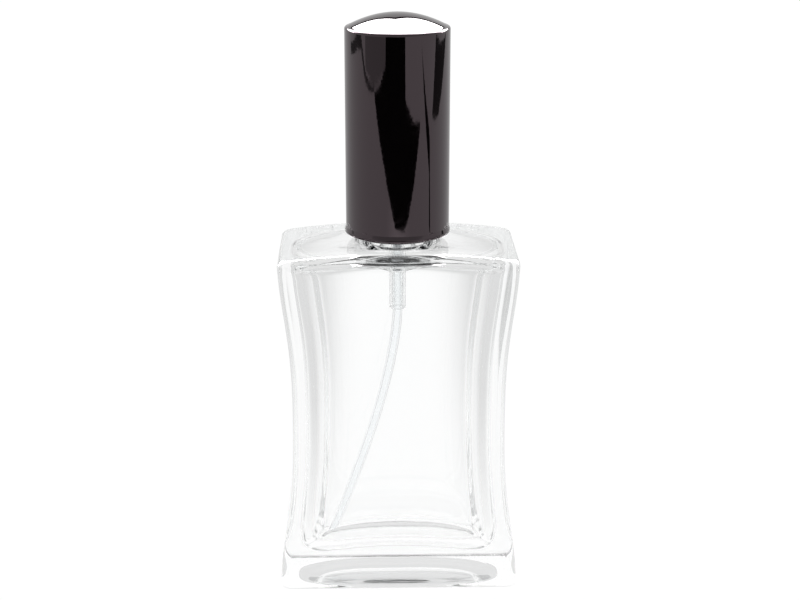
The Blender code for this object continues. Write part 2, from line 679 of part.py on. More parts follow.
def stem(plunger):
    """Hollow stem: valve head, necked shaft with two side ports, shoulder and open top."""
    plastic = material("stem_plastic", (0.84, 0.84, 0.83), 0.4)
    cone_z = HEAD_Z + VALVE_HEAD
    shaft_z = cone_z + VALVE_CONE
    channel_z = shaft_z + FIT
    port_z = channel_z + PORT_RADIUS + FIT
    profile = [
        (0.0, HEAD_Z),
        (HEAD_RADIUS, HEAD_Z),
        (HEAD_RADIUS, cone_z),
        (SHAFT_RADIUS, shaft_z),
        (SHAFT_RADIUS, STEM_SHOULDER_Z),
        (STEM_SHOULDER_RADIUS, STEM_SHOULDER_Z),
        (STEM_SHOULDER_RADIUS, STEM_SHOULDER_Z + SHOULDER_COLLAR),
        (STEM_RADIUS, STEM_SHOULDER_Z + SHOULDER_COLLAR),
        (STEM_RADIUS, STEM_TOP_Z),
        (STEM_CHANNEL, STEM_TOP_Z),
        (STEM_CHANNEL, channel_z),
        (0.0, channel_z),
    ]
    made = turned("stem", profile, plastic, steps=SMALL_ROUND, height=STEM_TOP_Z, parent=plunger)
    reach = HEAD_RADIUS
    drill(made, "stem_ports_cutter", PORT_RADIUS,
          (-reach, 0.0, port_z), (reach, 0.0, port_z), PORT_ROUND)


def piston(carrier):
    """A ring with a wiping lip at each end and a waist between them."""
    white = material("piston_plastic", (0.90, 0.90, 0.90), 0.35)
    top = PISTON_Z + PISTON_HEIGHT
    waist = PISTON_RADIUS - PISTON_WAIST
    profile = [
        (PISTON_BORE, PISTON_Z),
        (waist, PISTON_Z),
        (PISTON_RADIUS, PISTON_Z + FIT),
        (PISTON_RADIUS, PISTON_Z + PISTON_LIP),
        (waist, PISTON_Z + PISTON_LIP + PISTON_TAPER),
        (waist, top - PISTON_LIP - PISTON_TAPER),
        (PISTON_RADIUS, top - PISTON_LIP),
        (PISTON_RADIUS, top - FIT),
        (waist, top),
        (PISTON_BORE, top),
    ]
    turned("piston", profile, white, steps=SMALL_ROUND, height=PISTON_Z, parent=carrier)


def coil_height(turn, turns, wire, length):
    """Height of the wire's middle: one closed turn at each end, an even pitch between."""
    closed = CLOSED_PITCH * wire
    open_turns = turns - 2
    pitch = (length - wire - 2 * closed) / open_turns
    low = min(turn, 1.0) * closed
    middle = min(max(turn - 1.0, 0.0), open_turns) * pitch
    high = max(turn - 1.0 - open_turns, 0.0) * closed
    return wire / 2 + low + middle + high


def spring(name, mean_radius, wire, turns, foot, top, parent=None):
    """A compression spring of round wire, drawn as a tube along its helix."""
    steel = material(name + "_steel", (0.70, 0.71, 0.73), 0.25, metallic=1.0)
    rings = []
    for i in range(int(turns * SPRING_STEPS) + 1):
        turn = i / SPRING_STEPS
        angle = math.tau * turn
        z = foot + coil_height(turn, turns, wire, top - foot)
        ring = []
        for side in range(WIRE_SIDES):
            round_wire = math.tau * side / WIRE_SIDES
            radius = mean_radius + wire / 2 * math.cos(round_wire)
            ring.append((
                radius * math.cos(angle),
                radius * math.sin(angle),
                z + wire / 2 * math.sin(round_wire),
            ))
        rings.append(ring)
    add_object(name, loft(rings), steel, foot, parent)


def check_ball(carrier):
    steel = material("ball_steel", (0.72, 0.73, 0.75), 0.15, metallic=1.0)
    profile = arc((0.0, BALL_Z), (BALL_RADIUS,) * 2, -90, 90, BALL_STEPS)
    profile[0] = (0.0, BALL_Z - BALL_RADIUS)
    profile[-1] = (0.0, BALL_Z + BALL_RADIUS)
    turned("check_ball", profile, steel, steps=TINY_ROUND, height=BALL_Z, parent=carrier)


def tube_tip_z():
    return BASE_THICKNESS - floor_fall(TUBE_REACH) + TUBE_FLOOR_GAP


def tube_offset(z):
    """How far the dip tube has bent towards -X at a height."""
    share = max(TAIL_Z - z, 0.0) / (TAIL_Z - tube_tip_z())
    return -TUBE_REACH * share ** TUBE_BEND


def dip_tube():
    """A hollow tube, straight in its socket and bent below it, with a slanted tip."""
    plastic = material("tube_plastic", (0.90, 0.91, 0.92), 0.3, transmission=0.7)
    bent = TAIL_Z - tube_tip_z()
    heights = [TUBE_TOP_Z] + [TAIL_Z - bent * i / TUBE_STEPS for i in range(TUBE_STEPS + 1)]
    delta = bent / TUBE_STEPS ** 2
    outer = []
    inner = []
    for i, z in enumerate(heights):
        slope = (tube_offset(z - delta) - tube_offset(z)) / delta
        along = Vector((slope, 0.0, -1.0)).normalized()
        across = along.cross(Vector((0.0, 1.0, 0.0)))
        centre = Vector((tube_offset(z), 0.0, z))
        slant = along * TUBE_SLANT if i == len(heights) - 1 else Vector()
        for rings, radius in ((outer, TUBE_RADIUS), (inner, TUBE_RADIUS - TUBE_WALL)):
            ring = []
            for side in range(TUBE_SIDES):
                angle = math.tau * side / TUBE_SIDES
                across_part = radius * math.cos(angle)
                point = centre + (across + slant) * across_part
                point.y += radius * math.sin(angle)
                ring.append(point)
            rings.append(ring)
    add_object("dip_tube", loft(outer + inner[::-1], wrap=True), plastic, TUBE_TOP_Z)


# ---------------------------------------------------------------- button


def actuator_core(button):
    """Moulded body of the button: a socket for the stem, a channel and a nozzle pocket."""
    plastic = material("core_plastic", (0.03, 0.03, 0.03), 0.35)
    socket = STEM_RADIUS + FIT
    socket_top = STEM_TOP_Z + SEAT_GAP
    riser = CHANNEL_RADIUS + FIT
    riser_top = NOZZLE_Z + riser
    profile = [
        (0.0, riser_top),
        (riser, riser_top),
        (riser, socket_top),
        (socket, socket_top),
        (socket, CORE_Z),
        (CORE_RADIUS, CORE_Z),
        (CORE_RADIUS, CORE_TOP_Z - BUTTON_DISH),
        (CORE_RADIUS - BUTTON_DISH, CORE_TOP_Z),
        (0.0, CORE_TOP_Z - BUTTON_DISH),
    ]
    core = turned("actuator_core", profile, plastic, height=CORE_Z, parent=button)
    pocket = INSERT_LENGTH + SEAT_GAP - BUTTON_SHELL
    pocket_y = -CORE_RADIUS + pocket
    drill(core, "channel_cutter", CHANNEL_RADIUS,
          (0, 0, NOZZLE_Z), (0, pocket_y - pocket, NOZZLE_Z), CHANNEL_ROUND)
    drill(core, "nozzle_pocket_cutter", INSERT_RADIUS + FIT,
          (0, pocket_y, NOZZLE_Z), (0, -CORE_RADIUS * 2, NOZZLE_Z))


def actuator_shell(button):
    """Drawn cover of the button, with a dished top and a round window for the nozzle."""
    black = material("button_black", (0.02, 0.02, 0.02), 0.15, metallic=0.3)
    inner = BUTTON_RADIUS - BUTTON_SHELL
    top = BUTTON_TOP_Z
    profile = [
        (0.0, top - BUTTON_DISH),
        (BUTTON_RADIUS - BUTTON_DISH, top),
        (BUTTON_RADIUS, top - BUTTON_DISH),
        (BUTTON_RADIUS, BUTTON_Z),
        (inner, BUTTON_Z),
        (inner, top - BUTTON_DISH - BUTTON_SHELL / 2),
        (inner - BUTTON_DISH, top - BUTTON_SHELL),
        (0.0, top - BUTTON_DISH - BUTTON_SHELL),
    ]
    shell = turned("actuator_shell", profile, black, height=BUTTON_Z, parent=button)
    drill(shell, "nozzle_window_cutter", INSERT_RADIUS + LOOSE_FIT,
          (0, -CORE_RADIUS / 2, NOZZLE_Z), (0, -BUTTON_RADIUS * 2, NOZZLE_Z))


def spray_insert(button):
    """A cup-shaped nozzle, its axis level, with a swirl chamber behind a fine orifice."""
    black = material("insert_plastic", (0.05, 0.05, 0.05), 0.4)
    face = -BUTTON_RADIUS + FIT
    back = face + INSERT_LENGTH
    chamber = face + BUTTON_SHELL
    profile = [
        (ORIFICE_RADIUS, face),
        (INSERT_RADIUS / 2, face),
        (INSERT_RADIUS, face + FIT),
        (INSERT_RADIUS, back),
        (CHANNEL_RADIUS, back),
        (CHANNEL_RADIUS, chamber),
        (ORIFICE_RADIUS, chamber),
    ]
    made = turned("spray_insert", profile, black, steps=TINY_ROUND, parent=button)
    made.rotation_euler = (-math.pi / 2, 0.0, 0.0)
    place(made, NOZZLE_Z, button)


# ---------------------------------------------------------------- cap


def cap_shell(cap):
    """Straight black tube closed by a low dome, with a rolled lip round its foot."""
    black = material("cap_black", (0.012, 0.010, 0.011), 0.06)
    dome_radius = CAP_RADIUS - CAP_EDGE
    inside_top = CAP_EDGE_Z - CAP_WALL
    edge_centre = (dome_radius, CAP_EDGE_Z - CAP_EDGE)
    lip_radius = CAP_RADIUS + CAP_LIP
    lip_top = CAP_Z + CAP_LIP_HEIGHT
    profile = [(0.0, CAP_EDGE_Z + CAP_DOME)]
    profile += dome(dome_radius, CAP_EDGE_Z, CAP_DOME)
    profile += arc(edge_centre, (CAP_EDGE,) * 2, 90, 0, SMALL_ARC_STEPS)
    profile += [
        (CAP_RADIUS, lip_top),
        (lip_radius, lip_top - CAP_LIP),
        (lip_radius, CAP_Z + CAP_LIP),
        (CAP_RADIUS, CAP_Z),
        (CAP_BORE, CAP_Z),
        (CAP_BORE, inside_top - CAP_EDGE),
    ]
    profile += dome(CAP_BORE - CAP_EDGE, inside_top, CAP_DOME)[::-1]
    profile.append((0.0, inside_top + CAP_DOME))
    turned("cap_shell", profile, black, steps=LARGE_ROUND, height=CAP_Z, parent=cap)


def dome(radius, foot, rise):
    """Points of a low dome between its middle and its edge, both left out."""
    return [(radius * share, foot + rise * (1 - share ** 2)) for share in DOME_SHARES]


def cap_liner(cap):
    """Moulded liner with upright grip ribs and a ledge that stops on the collar."""
    plastic = material("liner_plastic", (0.06, 0.06, 0.06), 0.5)
    profile = [
        (LINER_BORE, LINER_Z),
        (LINER_RADIUS, LINER_Z),
        (LINER_RADIUS, LINER_TOP_Z),
        (LINER_BORE, LINER_TOP_Z),
        (LINER_BORE, LEDGE_Z + LINER_LEDGE),
        (LEDGE_RADIUS, LEDGE_Z + LINER_LEDGE),
        (LEDGE_RADIUS, LEDGE_Z),
        (LINER_BORE, LEDGE_Z),
    ]
    liner = turned("cap_liner", profile, plastic, steps=LARGE_ROUND, height=LINER_Z, parent=cap)
    rib_spacing = LARGE_ROUND // LINER_RIBS
    for vertex in liner.data.vertices:
        radius = math.hypot(vertex.co.x, vertex.co.y)
        step = round(math.atan2(vertex.co.y, vertex.co.x) / math.tau * LARGE_ROUND) % rib_spacing
        below_ledge = vertex.co.z + LINER_Z < LEDGE_Z + FIT
        if step == 0 and below_ledge and abs(radius - LINER_BORE) < SAME_RADIUS:
            shrink = (LINER_BORE - LINER_RIB) / radius
            vertex.co.x *= shrink
            vertex.co.y *= shrink


# ---------------------------------------------------------------- assembly


def build():
    clear_scene()
    bottle_glass()
    neck_gasket()
    crimp_ferrule()
    collar_sleeve()
    pump_housing()
    turret()
    dip_tube()
    return_radius = HEAD_RADIUS - LOOSE_FIT / 2 - RETURN_WIRE / 2
    spring("return_spring", return_radius, RETURN_WIRE, RETURN_TURNS,
           RETURN_SPRING_Z, RETURN_SPRING_TOP_Z)
    ball_carrier = empty("ball_lift", BALL_Z)
    check_ball(ball_carrier)
    plunger = empty("pump_stroke", STEM_TOP_Z)
    stem(plunger)
    slip_radius = (SHAFT_RADIUS + STEM_SHOULDER_RADIUS) / 2
    spring("precompression_spring", slip_radius, SLIP_WIRE, SLIP_TURNS,
           SLIP_SPRING_Z, SLIP_SPRING_TOP_Z, plunger)
    piston_carrier = empty("piston_slip", PISTON_Z, plunger)
    piston(piston_carrier)
    button = empty("button_turn", BUTTON_Z, plunger)
    actuator_core(button)
    actuator_shell(button)
    spray_insert(button)
    cap = empty("cap_lift", CAP_Z)
    cap_shell(cap)
    cap_liner(cap)


build()
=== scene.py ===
import math

import bmesh
import bpy
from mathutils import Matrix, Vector


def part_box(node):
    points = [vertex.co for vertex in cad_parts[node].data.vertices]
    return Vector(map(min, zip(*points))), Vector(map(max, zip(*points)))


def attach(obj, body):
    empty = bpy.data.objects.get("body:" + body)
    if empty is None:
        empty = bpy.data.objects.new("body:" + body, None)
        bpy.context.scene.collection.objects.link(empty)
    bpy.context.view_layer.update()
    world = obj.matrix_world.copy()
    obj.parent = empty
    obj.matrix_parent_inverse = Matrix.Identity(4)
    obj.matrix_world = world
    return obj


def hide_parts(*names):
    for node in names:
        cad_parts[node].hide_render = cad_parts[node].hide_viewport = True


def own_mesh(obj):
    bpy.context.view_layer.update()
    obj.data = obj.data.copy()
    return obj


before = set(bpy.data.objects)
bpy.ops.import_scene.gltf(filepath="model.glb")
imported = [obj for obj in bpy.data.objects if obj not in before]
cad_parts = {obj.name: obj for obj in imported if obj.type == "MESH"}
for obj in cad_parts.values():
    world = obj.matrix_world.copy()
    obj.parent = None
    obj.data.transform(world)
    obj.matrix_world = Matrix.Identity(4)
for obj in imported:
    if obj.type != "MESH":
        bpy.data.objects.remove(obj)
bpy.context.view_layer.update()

# The looks of an aftershave bottle: clear pressed glass, gloss black cap, translucent pump.
# Metres, +Z up, the broad front faces -Y.  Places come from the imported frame.

MM = 0.001


# ---------------------------------------------------------------- sizes from the frame


def low(node):
    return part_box(node)[0]


def high(node):
    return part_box(node)[1]


BASE_WIDTH = 48.6 * MM
WAIST_WIDTH = 42.8 * MM
SHOULDER_WIDTH = 47.6 * MM
BODY_HEIGHT = 72.0 * MM
HALF_DEPTH = high("bottle_glass")[1]
NECK_TOP = high("bottle_glass")[2]
WAIST_Z = BODY_HEIGHT / 2 + 2.0 * MM
SHOULDER_DROP = 1.6 * MM
SHOULDER_EDGE_Z = BODY_HEIGHT - SHOULDER_DROP
WAIST_EASE = 1.4
CORNER_RADIUS = 1.8 * MM
EDGE_RADIUS = 1.2 * MM
SIDE_WALL = 2.5 * MM
FACE_WALL = 2.6 * MM
BASE_THICKNESS = 7.8 * MM
FLOOR_CROWN = 4.0 * MM
CEILING_Z = BODY_HEIGHT - 2.2 * MM
INNER_POWER = 3.3
CEILING_CURVE = (2.5 * MM, 2.0 * MM)
FLOOR_CURVE = (5.5 * MM, 7.0 * MM)
SHAPE_FADE = 6
PUSH_UP = 2.4 * MM
PUSH_UP_POWER = 3.2
PUSH_UP_RISE_POWER = 3.0
STANDING_RIM = 2.2 * MM
NECK_BORE = 4.5 * MM
NECK_COLUMN = 6.3 * MM
NECK_BEAD = 7.5 * MM
NECK_ROOT = 9.5 * MM
ROOT_HEIGHT = 2.2 * MM
BEAD_FOOT = NECK_TOP - 3.6 * MM
BEAD_SLOPE = 0.7 * MM
LIP_RADIUS = 0.5 * MM
BORE_FLARE = 1.5 * MM

SIDE_STEPS = 8
CORNER_STEPS = 12
FACE_STEPS = 28
ARC_STEPS = 10
OUTLINE_STEPS = SIDE_STEPS + CORNER_STEPS + FACE_STEPS
PUSH_UP_RINGS = 12
WALL_RINGS = 40
SHOULDER_RINGS = 6
CEILING_RINGS = 5
FLOOR_RINGS = 6
ROUND_STEPS = 128
SHARP_ANGLE = 40
MERGE_DISTANCE = 0.0001 * MM


# ---------------------------------------------------------------- materials


def new_material(name):
    """A Principled material; returns it with its node tree and shader."""
    made = bpy.data.materials.new(name)
    made.use_nodes = True
    return made, made.node_tree, made.node_tree.nodes["Principled BSDF"]


def noise(tree, scale, detail=4.0, stretch=(1.0, 1.0, 1.0)):
    """Procedural noise in object space; scale is in features per metre."""
    place = tree.nodes.new("ShaderNodeTexCoord")
    mapping = tree.nodes.new("ShaderNodeMapping")
    mapping.inputs["Scale"].default_value = stretch
    made = tree.nodes.new("ShaderNodeTexNoise")
    made.inputs["Scale"].default_value = scale
    made.inputs["Detail"].default_value = detail
    tree.links.new(place.outputs["Object"], mapping.inputs["Vector"])
    tree.links.new(mapping.outputs["Vector"], made.inputs["Vector"])
    return made.outputs["Fac"]


def ranged(tree, value, smoothest, roughest):
    """Map the middle part of a noise value to a range of roughness."""
    made = tree.nodes.new("ShaderNodeMapRange")
    made.inputs["From Min"].default_value = 0.3
    made.inputs["From Max"].default_value = 0.7
    made.inputs["To Min"].default_value = smoothest
    made.inputs["To Max"].default_value = roughest
    tree.links.new(value, made.inputs["Value"])
    return made.outputs["Result"]


def bump(tree, shader, value, height):
    """Let a noise value lift the surface by up to a height."""
    made = tree.nodes.new("ShaderNodeBump")
    made.inputs["Strength"].default_value = 1.0
    made.inputs["Distance"].default_value = height
    tree.links.new(value, made.inputs["Height"])
    tree.links.new(made.outputs["Normal"], shader.inputs["Normal"])


def two_tone(tree, shader, value, dark, light):
    """Let the colour drift between two near shades."""
    made = tree.nodes.new("ShaderNodeMix")
    made.data_type = "RGBA"
    made.inputs["A"].default_value = (*dark, 1.0)
    made.inputs["B"].default_value = (*light, 1.0)
    tree.links.new(value, made.inputs["Factor"])
    tree.links.new(made.outputs["Result"], shader.inputs["Base Color"])


def clear_glass():
    """Clear pressed glass: faint surface waves and a little grey in long paths through it."""
    made, tree, shader = new_material("clear_glass")
    shader.inputs["Transmission Weight"].default_value = 1.0
    shader.inputs["IOR"].default_value = 1.52
    shader.inputs["Roughness"].default_value = 0.0
    two_tone(tree, shader, noise(tree, 60.0), (0.985, 0.99, 0.99), (1.0, 1.0, 1.0))
    bump(tree, shader, noise(tree, 140.0, detail=2.0), 0.04 * MM)
    volume = tree.nodes.new("ShaderNodeVolumeAbsorption")
    volume.inputs["Color"].default_value = (0.80, 0.82, 0.82, 1.0)
    volume.inputs["Density"].default_value = 6.0
    output = tree.nodes["Material Output"]
    tree.links.new(volume.outputs["Volume"], output.inputs["Volume"])
    return made


def cap_black():
    """Deep gloss black with a warm cast in its reflections and a trace of orange peel."""
    made, tree, shader = new_material("cap_black")
    two_tone(tree, shader, noise(tree, 300.0), (0.0012, 0.0009, 0.001), (0.002, 0.0014, 0.0016))
    shader.inputs["IOR"].default_value = 1.75
    shader.inputs["Specular Tint"].default_value = (1.0, 0.80, 0.88, 1.0)
    rough = ranged(tree, noise(tree, 900.0, detail=6.0), 0.02, 0.05)
    tree.links.new(rough, shader.inputs["Roughness"])
    bump(tree, shader, noise(tree, 450.0, detail=2.0), 0.004 * MM)
    return made


def gloss_black_metal(name):
    """Black anodised aluminium: a dark metal under a clear gloss film."""
    made, tree, shader = new_material(name)
    two_tone(tree, shader, noise(tree, 700.0), (0.008, 0.008, 0.008), (0.016, 0.015, 0.016))
    shader.inputs["Metallic"].default_value = 0.3
    shader.inputs["Coat Weight"].default_value = 0.6
    shader.inputs["Coat Roughness"].default_value = 0.04
    grain = noise(tree, 1400.0, detail=6.0, stretch=(1.0, 1.0, 0.1))
    rough = ranged(tree, grain, 0.10, 0.2)
    tree.links.new(rough, shader.inputs["Roughness"])
    return made


def moulded(name, dark, light, roughness, transmission=0.0, subsurface=0.0, ior=1.5):
    """Moulded plastic with a fine satin grain."""
    made, tree, shader = new_material(name)
    two_tone(tree, shader, noise(tree, 500.0), dark, light)
    rough = ranged(tree, noise(tree, 2500.0, detail=5.0), roughness * 0.85, roughness * 1.15)
    tree.links.new(rough, shader.inputs["Roughness"])
    shader.inputs["Transmission Weight"].default_value = transmission
    shader.inputs["IOR"].default_value = ior
    if subsurface:
        shader.inputs["Subsurface Weight"].default_value = subsurface
        shader.inputs["Subsurface Radius"].default_value = (MM, MM, MM)
        shader.inputs["Subsurface Scale"].default_value = 1.0
    bump(tree, shader, noise(tree, 3000.0, detail=3.0), 0.003 * MM)
    return made


METAL_SHADE = 0.85


def bright_metal(name, colour, roughness, stretch):
    """Bare metal with drawn lines along one direction."""
    made, tree, shader = new_material(name)
    dark = tuple(METAL_SHADE * part for part in colour)
    lines = noise(tree, 3000.0, stretch=stretch)
    two_tone(tree, shader, lines, dark, colour)
    shader.inputs["Metallic"].default_value = 1.0
    rough = ranged(tree, lines, roughness * 0.7, roughness * 1.4)
    tree.links.new(rough, shader.inputs["Roughness"])
    bump(tree, shader, lines, 0.002 * MM)
    return made


GLASS = clear_glass()
CAP_BLACK = cap_black()
COLLAR_BLACK = gloss_black_metal("collar_black")
BUTTON_BLACK = gloss_black_metal("button_black")
MOULDED_BLACK = moulded("moulded_black", (0.018, 0.018, 0.018), (0.03, 0.03, 0.03), 0.4)
PUMP_WHITE = moulded("pump_white", (0.80, 0.80, 0.79), (0.88, 0.88, 0.87), 0.35, subsurface=0.3)
PUMP_CLEAR = moulded("pump_translucent", (0.96, 0.97, 0.97), (0.99, 0.99, 0.99), 0.25,
                     transmission=1.0, ior=1.12)
TUBE_CLEAR = moulded("tube_translucent", (0.97, 0.98, 0.99), (0.99, 1.0, 1.0), 0.2,
                     transmission=1.0, ior=1.2)
GASKET = moulded("gasket_elastomer", (0.74, 0.74, 0.72), (0.82, 0.82, 0.80), 0.6)
ALUMINIUM = bright_metal("crimp_aluminium", (0.80, 0.80, 0.82), 0.25, (1.0, 1.0, 0.05))
SPRING_STEEL = bright_metal("spring_steel", (0.70, 0.71, 0.73), 0.2, (0.3, 0.3, 1.0))


# ---------------------------------------------------------------- mesh helpers


def add_piece(name, bm, skin, body, slot, *replaced):
    """Turn a bmesh into a smooth piece that rides on a body and stands for CAD nodes."""
    bmesh.ops.recalc_face_normals(bm, faces=bm.faces)
    mesh = bpy.data.meshes.new(name)
    bm.to_mesh(mesh)
    bm.free()
    mesh.materials.append(skin)
    mesh.shade_smooth()
    mesh.set_sharp_from_angle(angle=math.radians(SHARP_ANGLE))
    piece = bpy.data.objects.new(name, mesh)
    bpy.context.scene.collection.objects.link(piece)
    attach(piece, body)
    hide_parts(*replaced)
    return piece


def loft(rings, wrap=False):
    """Join equal rings of points into one skin, closed by flat ends or by wrapping round."""
    bm = bmesh.new()
    loops = [[bm.verts.new(point) for point in ring] for ring in rings]
    pairs = list(zip(loops, loops[1:]))
    if wrap:
        pairs.append((loops[-1], loops[0]))
    else:
        bm.faces.new(loops[0])
        bm.faces.new(loops[-1])
    for lower, upper in pairs:
        count = len(lower)
        for i in range(count):
            j = (i + 1) % count
            bm.faces.new((lower[i], lower[j], upper[j], upper[i]))
    return bm


def turned(profile):
    """Spin a profile of (radius, height) round the axis; it closes unless it starts there."""
    bm = bmesh.new()
    verts = [bm.verts.new((radius, 0.0, z)) for radius, z in profile]
    edges = [bm.edges.new((a, b)) for a, b in zip(verts, verts[1:])]
    if profile[0][0] > 0.0:
        edges.append(bm.edges.new((verts[-1], verts[0])))
    bmesh.ops.spin(bm, geom=verts + edges, axis=(0, 0, 1), cent=(0, 0, 0),
                   angle=math.tau, steps=ROUND_STEPS, use_merge=True)
    bmesh.ops.remove_doubles(bm, verts=bm.verts, dist=MERGE_DISTANCE)
    return bm


def arc(centre, radius, start, end, steps=ARC_STEPS):
    """Points on a round arc in a profile; angles in degrees from the outward direction."""
    points = []
    for i in range(steps + 1):
        angle = math.radians(start + (end - start) * i / steps)
        points.append(
            (centre[0] + radius * math.cos(angle), centre[1] + radius * math.sin(angle))
        )
    return points


# ---------------------------------------------------------------- glass bottle


def half_width(z):
    """Half the outer width: narrowest at the waist, easing out to the base and the shoulder."""
    if z < WAIST_Z:
        end_width = BASE_WIDTH
        share = (WAIST_Z - z) / WAIST_Z
    else:
        end_width = SHOULDER_WIDTH
        share = (z - WAIST_Z) / (SHOULDER_EDGE_Z - WAIST_Z)
    swing = (1.0 - math.cos(math.pi * min(share, 1.0) ** WAIST_EASE)) / 2
    return (WAIST_WIDTH + (end_width - WAIST_WIDTH) * swing) / 2


def crown(x, z):
    """Height of a shoulder-shaped surface whose middle is at z."""
    return z - SHOULDER_DROP * (2 * x / SHOULDER_WIDTH) ** 2


def floor_fall(x):
    """How far the cavity's floor has fallen below its middle."""
    return FLOOR_CROWN * (2 * x / BASE_WIDTH) ** 2


def quarter_outline(step, half_w, half_d):
    """Point of a rounded rectangle's first quarter, from the side's middle to the face's."""
    corner_x = half_w - CORNER_RADIUS
    corner_y = half_d - CORNER_RADIUS
    if step <= SIDE_STEPS:
        return half_w, corner_y * step / SIDE_STEPS
    if step <= SIDE_STEPS + CORNER_STEPS:
        angle = math.pi / 2 * (step - SIDE_STEPS) / CORNER_STEPS
        return (
            corner_x + CORNER_RADIUS * math.cos(angle),
            corner_y + CORNER_RADIUS * math.sin(angle),
        )
    share = (step - SIDE_STEPS - CORNER_STEPS) / FACE_STEPS
    return corner_x * (1.0 - share), half_d


def whole_outline(quarter):
    """Mirror a quarter, given as a function of its step, into a full turn of points."""
    points = []
    for x_sign, y_sign, backwards in ((1, 1, 0), (-1, 1, 1), (-1, -1, 0), (1, -1, 1)):
        for step in range(OUTLINE_STEPS):
            x, y = quarter(OUTLINE_STEPS - step if backwards else step)
            points.append((x_sign * x, y_sign * y))
    return points


def body_outline(z, inset):
    """The glass's outline at a height, drawn in all round by an inset."""
    half_w = half_width(z) - inset
    half_d = HALF_DEPTH - inset
    return whole_outline(lambda step: quarter_outline(step, half_w, half_d))


def neck_ring(radius, z):
    """A level circle with as many points as the glass's other rings."""

    def quarter(step):
        angle = math.pi / 2 * step / OUTLINE_STEPS
        return radius * math.cos(angle), radius * math.sin(angle)

    return [(x, y, z) for x, y in whole_outline(quarter)]


def superellipse_ring(z, half_w, half_d, power):
    """An ellipse drawn out towards its corners: power 2 is a plain ellipse."""

    def quarter(step):
        angle = math.pi / 2 * step / OUTLINE_STEPS
        across = abs(math.cos(angle)) ** (2 / power)
        return half_w * across, half_d * math.sin(angle) ** (2 / power)

    return [(x, y, z) for x, y in whole_outline(quarter)]


def level_ring(z, inset):
    return [(x, y, z) for x, y in body_outline(z, inset)]


def crowned_ring(z, inset):
    return [(x, y, crown(x, z)) for x, y in body_outline(SHOULDER_EDGE_Z, inset)]


def between(ring_a, ring_b, share, surface_z):
    """A ring part of the way from one to another, on a crowned surface."""
    points = []
    for a, b in zip(ring_a, ring_b):
        x = a[0] + (b[0] - a[0]) * share
        y = a[1] + (b[1] - a[1]) * share
        points.append((x, y, crown(x, surface_z)))
    return points


def outside_of_glass():
    """Rings from the middle of the push-up, out over the standing rim and up to the shoulder."""
    rim = EDGE_RADIUS + STANDING_RIM
    rings = []
    for i in range(1, PUSH_UP_RINGS + 1):
        share = i / PUSH_UP_RINGS
        rise = PUSH_UP * (1.0 - share ** PUSH_UP_RISE_POWER)
        half_w = (BASE_WIDTH / 2 - rim) * share
        half_d = (HALF_DEPTH - rim) * share
        rings.append(superellipse_ring(rise, half_w, half_d, PUSH_UP_POWER))
    for i in range(ARC_STEPS + 1):
        angle = math.pi / 2 * i / ARC_STEPS
        inset = EDGE_RADIUS * (1.0 - math.sin(angle))
        rings.append(level_ring(EDGE_RADIUS * (1.0 - math.cos(angle)), inset))
    wall_top = SHOULDER_EDGE_Z - EDGE_RADIUS
    for i in range(1, WALL_RINGS):
        z = EDGE_RADIUS + (wall_top - EDGE_RADIUS) * i / WALL_RINGS
        rings.append(level_ring(z, 0.0))
    for i in range(ARC_STEPS + 1):
        angle = math.pi / 2 * i / ARC_STEPS
        inset = EDGE_RADIUS * (1.0 - math.cos(angle))
        drop = EDGE_RADIUS * (1.0 - math.sin(angle))
        rings.append(crowned_ring(BODY_HEIGHT - drop, inset))
    return rings


def neck_of_glass(shoulder_ring):
    """Rings over the shoulder, up the neck, round its lip and down the bore."""
    root = neck_ring(NECK_ROOT, BODY_HEIGHT)
    rings = [
        between(shoulder_ring, root, i / SHOULDER_RINGS, BODY_HEIGHT)
        for i in range(1, SHOULDER_RINGS)
    ]
    profile = []
    for i in range(ARC_STEPS + 1):
        angle = math.pi / 2 * i / ARC_STEPS
        radius = NECK_ROOT - (NECK_ROOT - NECK_COLUMN) * math.sin(angle)
        profile.append((radius, BODY_HEIGHT + ROOT_HEIGHT * (1.0 - math.cos(angle))))
    profile.append((NECK_COLUMN, BEAD_FOOT - BEAD_SLOPE))
    profile.append((NECK_BEAD, BEAD_FOOT))
    lip_z = NECK_TOP - LIP_RADIUS
    flare_z = CEILING_Z + BORE_FLARE
    profile += arc((NECK_BEAD - LIP_RADIUS, lip_z), LIP_RADIUS, 0, 90, steps=5)
    profile += arc((NECK_BORE + LIP_RADIUS, lip_z), LIP_RADIUS, 90, 180, steps=5)
    profile += arc((NECK_BORE + BORE_FLARE, flare_z), BORE_FLARE, 180, 270)
    return rings + [neck_ring(radius, z) for radius, z in profile]


def inner_ring(z, inset, width_z=None):
    """A level ring of the cavity, as wide as the glass allows at width_z, or else at z."""
    half_w = half_width(z if width_z is None else width_z) - SIDE_WALL - inset
    half_d = HALF_DEPTH - FACE_WALL - inset
    return superellipse_ring(z, half_w, half_d, INNER_POWER)


